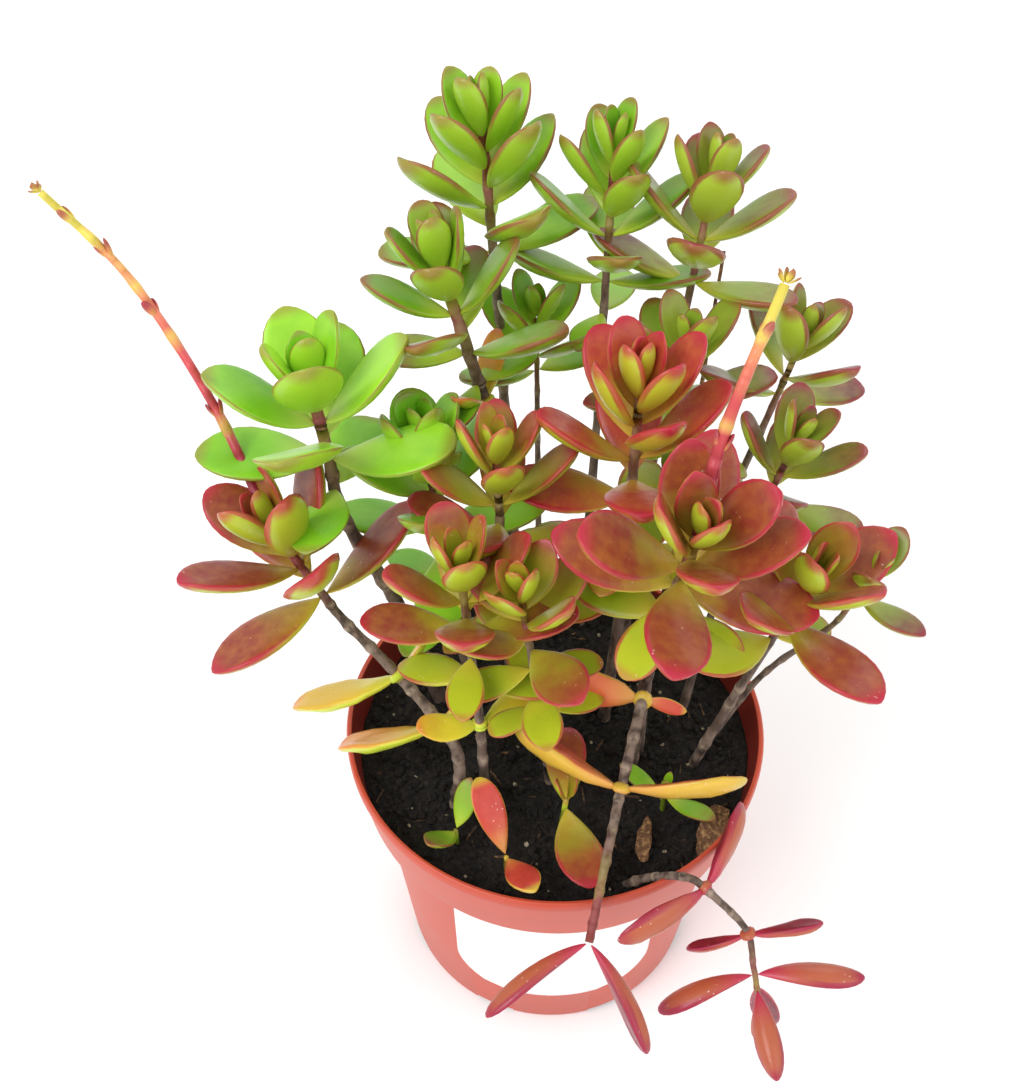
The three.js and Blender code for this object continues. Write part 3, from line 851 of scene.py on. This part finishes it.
@dataclass
class Foliage:
    """The leaves of one shoot or seedling."""

    shoot: Shoot
    lower_gap: float = 7.5
    turn_jitter: float = 7
    splay_jitter: float = 5
    young_flush: float = 0.62

    def grow(self, clay: Clay) -> None:
        """Adds the shoot's leaves, pair by pair from the oldest."""
        shoot = self.shoot
        rng = random.Random(f"{shoot.name} leaves")
        axis = shoot_axis(shoot) if len(shoot.stem) > 1 else Vector((0, 0, 1))
        for pair in range(shoot.pairs):
            youth = pair / max(1, shoot.pairs - 1)
            splay = lerp(shoot.splay, GROWTH.young_splay, youth ** GROWTH.closing)
            length = shoot.leaf * lerp(1, GROWTH.young_size, youth ** GROWTH.shrinking)
            node = Vector(shoot.tip) - axis * GROWTH.below_tip(shoot.pairs - 1 - pair)
            flush = shoot.flush * lerp(1.0, self.young_flush, youth)
            for side in (0, 180):
                turned = pair * GROWTH.turn + side + rng.uniform(-self.turn_jitter, self.turn_jitter)
                leaning = splay + rng.uniform(-self.splay_jitter, self.splay_jitter)
                along = leaf_direction(axis, shoot.turn, turned, leaning)
                LEAF.add(clay, node + along * FOOT_OFFSET, axis, along, length * rng.uniform(0.95, 1.05),
                         shoot.broad, min(1.0, flush * rng.uniform(0.8, 1.2)), rng)

    def grow_lower(self, clay: Clay) -> None:
        """Adds the sparse old leaves on the straight stretch of stem below the tuft."""
        shoot = self.shoot
        rng = random.Random(f"{shoot.name} lower leaves")
        axis = shoot_axis(shoot)
        top = GROWTH.below_tip(shoot.pairs - 1) + self.lower_gap
        for pair in range(shoot.lower):
            node = Vector(shoot.tip) - axis * (top + self.lower_gap * pair)
            for side in (0, 180):
                turned = -(pair + 1) * GROWTH.turn + side + rng.uniform(-15, 15)
                along = leaf_direction(axis, shoot.turn, turned, rng.uniform(86, 112))
                length = shoot.leaf * rng.uniform(0.62, 0.9)
                LEAF.add(clay, node + along * FOOT_OFFSET, axis, along, length, shoot.broad,
                         shoot.flush * rng.uniform(0.05, 0.45), rng)

    def build(self, materials: dict[Tone, bpy.types.Material]) -> None:
        """Makes the foliage piece."""
        clay = Clay()
        self.grow(clay)
        self.grow_lower(clay)
        tone = self.shoot.tone
        clay.to_piece(f"{self.shoot.name}_foliage", materials[tone],
                      (f"{self.shoot.name}_leaves",))


@dataclass
class Stem:
    """A shoot's woody stem, swollen at the joints where old leaves have dropped."""

    shoot: Shoot
    node_gap: float = 7.0
    swelling: float = 0.22
    root_flare: float = 1.25
    tip_share: float = 0.72
    taper: float = 0.8
    joint_width: float = 0.7
    roughness: float = 0.16
    roughness_scale: float = 0.45

    def nearness(self, distance: float) -> float:
        """1 at a joint and 0 away from it."""
        off = (distance % self.node_gap) - self.node_gap / 2
        return math.exp(-(off / self.joint_width) ** 2)

    def shape(self, clay: Clay, sides: int = 12) -> None:
        """Adds the stem to some clay."""
        line = stem_line(self.shoot, 14)
        length = sum((b - a).length for a, b in zip(line, line[1:]))
        base = self.shoot.thick / 2

        def radius(share: float) -> float:
            size = lerp(self.root_flare, self.tip_share, share ** self.taper)
            return base * size * (1 + self.swelling * self.nearness(share * length))

        verts = clay.tube(line, radius, sides, lambda share: self.nearness(share * length))
        clay.knobble(verts, base * self.roughness, self.roughness_scale)

    def build(self, material: bpy.types.Material) -> None:
        """Makes the stem piece."""
        clay = Clay()
        self.shape(clay)
        clay.to_piece(f"{self.shoot.name}_bark", material, (f"{self.shoot.name}_stem",))


@dataclass
class Seedling:
    """A young plant, whose short stem and leaves are one piece."""

    shoot: Shoot

    def build(self, materials: dict[Tone, bpy.types.Material]) -> None:
        """Makes the seedling piece."""
        clay = Clay()
        foot = points_of(self.shoot.stem)[0]
        line = rounded([foot, Vector(self.shoot.tip)], 6)
        clay.tube(line, lambda share: self.shoot.thick / 2 * lerp(1.1, 0.8, share), 8)
        Foliage(self.shoot).grow(clay)
        clay.to_piece(f"{self.shoot.name}_plant", materials[self.shoot.tone], (self.shoot.name,))


@dataclass
class OldLeaves:
    """An old pair fused round its host's stem, dented and drooping a little."""

    pair: OldPair
    collar_radius: float = 1.1
    collar_length: float = 2.4

    def build(self, materials: dict[Tone, bpy.types.Material]) -> None:
        """Makes the pair's piece."""
        pair = self.pair
        host = next(shoot for shoot in SHOOTS if shoot.name == pair.on)
        line = stem_line(host, 20)
        foot = Vector(pair.at)
        nearest = min(range(len(line)), key=lambda i: (line[i] - foot).length)
        axis = tangents(line)[nearest]
        axis = -axis if axis.z < 0 else axis
        clay = Clay()
        rng = random.Random(f"{pair.name} leaves")
        ends = [foot + axis * (s * self.collar_length) for s in (-0.5, -0.2, 0.2, 0.5)]
        clay.tube(ends, lambda share: host.thick / 2 + self.collar_radius * (1 - (2 * share - 1) ** 2), 12)
        for side, length in enumerate(pair.lengths):
            along = leaf_direction(axis, pair.turn, 180 * side, pair.splay)
            blade = LEAF.add(clay, foot, axis, along, length, pair.broad, pair.flush, rng)
            clay.knobble(blade, length * 0.018, 0.22)
        clay.to_piece(f"{pair.name}_leaves", materials[pair.tone], (pair.name,))


@dataclass
class FlowerStalk:
    """A flower stalk with small paired bracts and a cluster of shut buds."""

    stalk: Stalk
    buds: int = 7

    def build(self, material: bpy.types.Material) -> None:
        """Makes the stalk's piece."""
        stalk = self.stalk
        clay = Clay()
        rng = random.Random(f"{stalk.name} bracts")
        line = rounded(points_of(stalk.route), 16)
        ways = tangents(line)
        joints = stalk.bracts

        def joint(share: float) -> float:
            return max(math.exp(-((share - at) / 0.02) ** 2) for at in joints)

        clay.tube(line, lambda share: stalk.radius * lerp(1.1, 0.75, share) * (1 + 0.2 * joint(share)),
                  10, lambda share: joint(share) * 0.8)
        for order, at in enumerate(joints):
            index = round(at * (len(line) - 1))
            for side in (0, 180):
                along = leaf_direction(ways[index], 90 * order, side, BRACT_SPLAY * rng.uniform(0.5, 0.9))
                bract = LEAF.add(clay, line[index], ways[index], along, BRACT_LENGTH, 0.8, 0.5, rng)
                for v in bract:
                    share = v[clay.layers["along"]]
                    clay.paint(v, along=at, upper=ease(share, 0.4, 0.8), rim=0.6 * (1 - share))
        for order in range(self.buds):
            along = leaf_direction(ways[-1], 137.5 * order, 0, 12 + 9 * order)
            centre = line[-1] + along * stalk.bud_radius * 0.55
            length = stalk.bud_radius * 1.35
            bud = LEAF.add(clay, centre - along * 0.8, ways[-1], along, length, 1.1, 0.5, rng)
            for v in bud:
                clay.paint(v, along=1.0, rim=0.0, upper=ease(v[clay.layers["along"]], 0.3, 0.9))
        clay.to_piece(f"{stalk.name}_wax", material, (stalk.name,))


@dataclass
class DeadMatter:
    """The dry twig and the dead leaves."""

    def build(self, material: bpy.types.Material) -> None:
        """Makes one piece for each."""
        clay = Clay()
        twig = clay.tube(rounded(points_of(TWIG_ROUTE), 14), lambda s: TWIG_RADIUS * lerp(1.2, 0.6, s), 8)
        clay.knobble(twig, 0.25, 0.5)
        clay.to_piece("dry_twig_bark", material, ("dry_twig",))
        for scrap in LITTER:
            clay = Clay()
            rng = random.Random(f"{scrap.name} shape")
            up = Vector((0, 0, 1))
            blade = LEAF.add(clay, Vector(scrap.at), up, heading(scrap.heading), scrap.length,
                             scrap.broad, 0.3, rng)
            clay.knobble(blade, 1.1, 0.35)
            clay.to_piece(f"{scrap.name}_blade", material, (scrap.name,))


# ---------------------------------------------------------------- the pot and what it holds


@dataclass
class Pot:
    """The moulded nursery pot, turned from one profile, with notches and drain holes."""

    height: float = 86.0
    rim: float = 52.0
    base: float = 40.5
    neck: float = 45.7
    collar: float = 19.2
    collar_foot: float = 49.5
    wall: float = 1.2
    floor: float = 2.0
    steps: int = 144
    notches: int = 8
    notch: Point = (14, 11, 5.2)
    drains: int = 4
    drain_radius: float = 3
    drain_ring: float = 20
    drain_sides: int = 24
    # The profile's last points are the inside wall, painted as inside for the painted shade.
    shaded_inner_points: int = 5
    sharp_angle: float = 35
    foot_edge: tuple[Point, ...] = ((-2.2, 0), (-0.7, 0.5), (0, 1.8))
    collar_edge: tuple[Point, ...] = ((-0.9, 0.2), (-0.2, 0.7), (0, 1.6))
    lip_edge: tuple[Point, ...] = ((-0.5, -3.0), (0, -2.6), (0.05, -0.8), (-0.25, -0.15), (-0.6, 0))
    inner_lip: tuple[Point, ...] = ((0, -0.2), (-0.2, -1.0))

    def profile(self) -> list[tuple[float, float]]:
        """The wall's outline, as radius and height, from the floor's outside to its inside."""
        neck = self.height - self.collar

        def edge(radius: float, height: float, steps: tuple[Point, ...]) -> list[tuple[float, float]]:
            """The points of a rounded edge, as steps out and up from a corner."""
            return [(radius + out, height + up) for out, up in steps]

        return [
            (0, 0), *edge(self.base, 0, self.foot_edge),
            ((self.base + self.neck) / 2, neck / 2), (self.neck, neck - 0.6), (self.neck + 0.6, neck),
            *edge(self.collar_foot, neck, self.collar_edge), *edge(self.rim, self.height, self.lip_edge),
            *edge(self.rim - self.wall, self.height, self.inner_lip),
            (self.collar_foot - self.wall, neck + 3), (self.neck - self.wall, neck + 1),
            (self.base - self.wall, self.floor), (0, self.floor),
        ]

    def cutter(self) -> bpy.types.Object:
        """The boxes and rods that cut the notches and the drain holes."""
        clay = Clay()
        for i in range(self.notches):
            turn = Matrix.Rotation(2 * math.pi * (i + 0.5) / self.notches, 4, "Z")
            place = turn @ Matrix.Translation((self.base, 0, 0)) @ Matrix.Diagonal((*self.notch, 1))
            bmesh.ops.create_cube(clay.mesh, size=1.0, matrix=place)
        for i in range(self.drains):
            turn = Matrix.Rotation(2 * math.pi * i / self.drains, 4, "Z")
            place = turn @ Matrix.Translation((self.drain_ring, 0, 0))
            bmesh.ops.create_cone(clay.mesh, cap_ends=True, segments=self.drain_sides,
                                  radius1=self.drain_radius, radius2=self.drain_radius,
                                  depth=3 * self.floor, matrix=place)
        bmesh.ops.scale(clay.mesh, vec=(MM, MM, MM), verts=clay.mesh.verts)
        data = bpy.data.meshes.new("pot_cutter")
        clay.mesh.to_mesh(data)
        clay.mesh.free()
        return bpy.data.objects.new("pot_cutter", data)

    def build(self, material: bpy.types.Material) -> None:
        """Makes the pot's piece."""
        clay = Clay()
        outline = self.profile()
        clay.turned(outline, self.steps, len(outline) - self.shaded_inner_points)
        piece = clay.to_piece("nursery_pot", material, ("pot",))
        cutter = self.cutter()
        bpy.context.scene.collection.objects.link(cutter)
        cut = piece.modifiers.new("cuts", "BOOLEAN")
        cut.operation = "DIFFERENCE"
        cut.object = cutter
        cut.solver = "EXACT"
        graph = bpy.context.evaluated_depsgraph_get()
        carved = bpy.data.meshes.new_from_object(piece.evaluated_get(graph))
        piece.modifiers.clear()
        piece.data = carved
        bpy.data.objects.remove(cutter)
        carved.materials.clear()
        carved.materials.append(material)
        for face in carved.polygons:
            face.material_index = 0
        carved.set_sharp_from_angle(angle=math.radians(self.sharp_angle))


@dataclass
class Soil:
    """Crumbly potting mix, with crumbs, pale grit and wood fibres strewn over it."""

    radius: float = 49.2
    gap: float = 0.15
    rings: int = 30
    segments: int = 110
    crumbs: int = 1500
    grit: int = 70
    fibres: int = 60

    def height_at(self, x: float, y: float) -> float:
        """The soil's height at a place, in millimetres."""
        place = Vector((x, y, 0))
        hills = noise.noise(place * 0.07) * 1.6 + noise.noise(place * 0.25) * 1.0
        return SOIL_LEVEL - 0.4 + hills + noise.noise(place * 0.9) * 0.5

    def bed(self, pot: Pot, material: bpy.types.Material) -> None:
        """Makes the bed of soil, which fills the pot's inside up to its level."""
        clay = Clay()
        neck = pot.height - pot.collar
        foot = pot.floor + self.gap
        wall = pot.wall + self.gap
        step = self.radius / self.rings
        top = [(self.radius - step * ring, SOIL_LEVEL) for ring in range(self.rings)]
        outline = [(0, foot), (pot.base - wall, foot), (pot.neck - wall, neck + 1),
                   (pot.collar_foot - wall - self.gap, neck + 3), *top, (0, SOIL_LEVEL)]
        clay.turned(outline, self.segments, len(outline))
        for v in clay.mesh.verts:
            if v.co.z > SOIL_LEVEL - 1:
                v.co.z = self.height_at(v.co.x, v.co.y)
        clay.to_piece("soil_bed", material, ("soil",))

    def strew(self, name: str, count: int, sizes: tuple[float, float], flat: float,
              material: bpy.types.Material) -> None:
        """Strews small bits over the bed.

        Args:
            name: the piece's name.
            count: how many bits.
            sizes: their least and greatest radius.
            flat: how long each is for its width.
            material: their finish.
        """
        clay = Clay()
        rng = random.Random(f"{name} places")
        for _ in range(count):
            away = (self.radius - 2.5) * math.sqrt(rng.random())
            turn = rng.uniform(0, 2 * math.pi)
            x, y = away * math.cos(turn), away * math.sin(turn)
            size = rng.uniform(*sizes)
            spin = Matrix.Rotation(rng.uniform(0, 2 * math.pi), 4, Vector((rng.random(), rng.random(), 1)))
            lean = Matrix.Rotation(rng.uniform(-0.6, 0.6), 4, "Y")
            shape = Matrix.Diagonal((flat, rng.uniform(0.6, 1.1), rng.uniform(0.5, 0.9), 1))
            place = Matrix.Translation((x, y, self.height_at(x, y) + size * 0.25)) @ spin @ lean @ shape
            bmesh.ops.create_icosphere(clay.mesh, subdivisions=1, radius=size, matrix=place)
        clay.to_piece(name, material, (), smooth=False)

    def build(self, pot: Pot, finishes: dict[str, bpy.types.Material]) -> None:
        """Makes the bed and what is strewn on it."""
        self.bed(pot, finishes["mix"])
        self.strew("soil_crumbs", self.crumbs, (0.45, 1.35), 1.2, finishes["mix"])
        self.strew("soil_grit", self.grit, (0.3, 0.7), 1.0, finishes["grit"])
        self.strew("soil_fibres", self.fibres, (0.3, 0.55), 6.0, finishes["fibre"])


@dataclass
class Label:
    """A blank label wrapped round the front of the pot, under its collar."""

    half_width: float = 25.0
    bottom: float = 18.0
    corner: float = 13.0
    top: float = 66.5
    off: float = 0.3
    thickness: float = 0.4
    columns: int = 40
    rows: int = 32

    def half_at(self, height: float) -> float:
        """Half the label's width at a height."""
        into = self.bottom + self.corner - height
        if into <= 0:
            return self.half_width
        return self.half_width - self.corner + math.sqrt(max(0.0, self.corner ** 2 - into ** 2))

    def build(self, pot: Pot, material: bpy.types.Material) -> None:
        """Makes the label's piece from a grid bent round the pot."""
        clay = Clay()
        grid = bmesh.ops.create_grid(clay.mesh, x_segments=self.columns, y_segments=self.rows, size=1.0)
        neck = pot.height - pot.collar
        for v in grid["verts"]:
            height = lerp(self.bottom, self.top, (v.co.y + 1) / 2)
            reach = pot.base + (pot.neck - pot.base) * height / neck + self.off
            across = v.co.x * self.half_at(height)
            v.co = Vector((across, -math.sqrt(reach ** 2 - across ** 2), height))
        bmesh.ops.recalc_face_normals(clay.mesh, faces=clay.mesh.faces)
        bmesh.ops.solidify(clay.mesh, geom=clay.mesh.faces, thickness=-self.thickness)
        clay.to_piece("blank_label", material, ("label",))


# ---------------------------------------------------------------- the studio


@dataclass
class Studio:
    """A pale floor, soft light and the camera."""

    floor_size: float = 6.0
    eye: Point = (-10.7, -181.7, 333.6)
    pitch: float = 45.8
    focal: float = 1213.0
    image_height: float = 1091.0
    sensor: float = 36.0

    def floor(self) -> None:
        """Lays the floor."""
        mesh = bmesh.new()
        place = Matrix.Translation((0, 0, -0.0002))
        bmesh.ops.create_grid(mesh, x_segments=1, y_segments=1, size=self.floor_size, matrix=place)
        data = bpy.data.meshes.new("floor")
        mesh.to_mesh(data)
        mesh.free()
        s = Shader("pale_floor")
        data.materials.append(s.finish(Base_Color=tint(0xFAFAFA), Roughness=0.9))
        floor = bpy.data.objects.new("floor", data)
        bpy.context.scene.collection.objects.link(floor)

    def lamp(self, name: str, place: Point, size: float, power: float) -> None:
        """Hangs a soft lamp that looks at the plant.

        Args:
            name: the lamp's name.
            place: where it hangs, in metres.
            size: the side of its square.
            power: its watts.
        """
        data = bpy.data.lights.new(name, "AREA")
        data.size = size
        data.energy = power
        lamp = bpy.data.objects.new(name, data)
        lamp.location = place
        lamp.rotation_euler = (Vector((0, 0, 0.1)) - Vector(place)).to_track_quat("-Z", "Y").to_euler()
        bpy.context.scene.collection.objects.link(lamp)

    def light(self) -> None:
        """Sets the sky and hangs the lamps."""
        world = bpy.data.worlds.new("sky")
        world.use_nodes = True
        sky = world.node_tree.nodes["Background"]
        sky.inputs["Color"].default_value = (1, 1, 1, 1)
        sky.inputs["Strength"].default_value = 0.86
        bpy.context.scene.world = world
        self.lamp("key", (-0.7, -0.6, 1.1), 0.7, 10.0)
        self.lamp("fill", (0.9, -0.7, 0.8), 0.9, 3.5)
        self.lamp("back", (0.3, 0.9, 1.0), 0.8, 3.0)
        bpy.context.scene.view_settings.view_transform = "Standard"

    def camera(self) -> None:
        """Sets the camera."""
        data = bpy.data.cameras.new("camera")
        data.sensor_width = self.sensor
        data.lens = self.focal / self.image_height * self.sensor
        data.clip_start = 0.01
        camera = bpy.data.objects.new("camera", data)
        camera.location = Vector(self.eye) * MM
        camera.rotation_euler = (math.radians(90 - self.pitch), 0, 0)
        bpy.context.scene.collection.objects.link(camera)
        bpy.context.scene.camera = camera

    def build(self) -> None:
        """Sets up the whole studio."""
        self.camera()
        self.light()
        self.floor()


def main() -> None:
    """Builds the studio, the plant, the pot and what it holds."""
    logging.basicConfig(level=logging.INFO, format="%(name)s: %(message)s")
    noise.seed_set(NOISE_SEED)
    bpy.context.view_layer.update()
    Studio().build()
    leaves = {tone: tone.value.build() for tone in Tone}
    bark = BarkFinish().build()
    stalk_wax = StalkFinish().build()
    dry = GroundFinish("dry_matter", tint(0x6E4A30), tint(0xC89A66), 0.8).build()
    ground = {
        "mix": GroundFinish("potting_mix", tint(0x120D0B), tint(0x30261F)).build(),
        "grit": GroundFinish("pale_grit", tint(0x9C8C74), tint(0xD8CCB4), 0.85).build(),
        "fibre": GroundFinish("wood_fibre", tint(0x4A3424), tint(0x8E6C48), 0.9).build(),
    }
    for shoot in SHOOTS:
        Stem(shoot).build(bark)
        Foliage(shoot).build(leaves)
    for shoot in SEEDLINGS:
        Seedling(shoot).build(leaves)
    for pair in PAIRS:
        OldLeaves(pair).build(leaves)
    for stalk in STALKS:
        FlowerStalk(stalk).build(stalk_wax)
    DeadMatter().build(dry)
    pot = Pot()
    pot.build(PlasticFinish().build())
    Label().build(pot, PaperFinish().build())
    Soil().build(pot, ground)


if __name__ == "__main__":
    main()
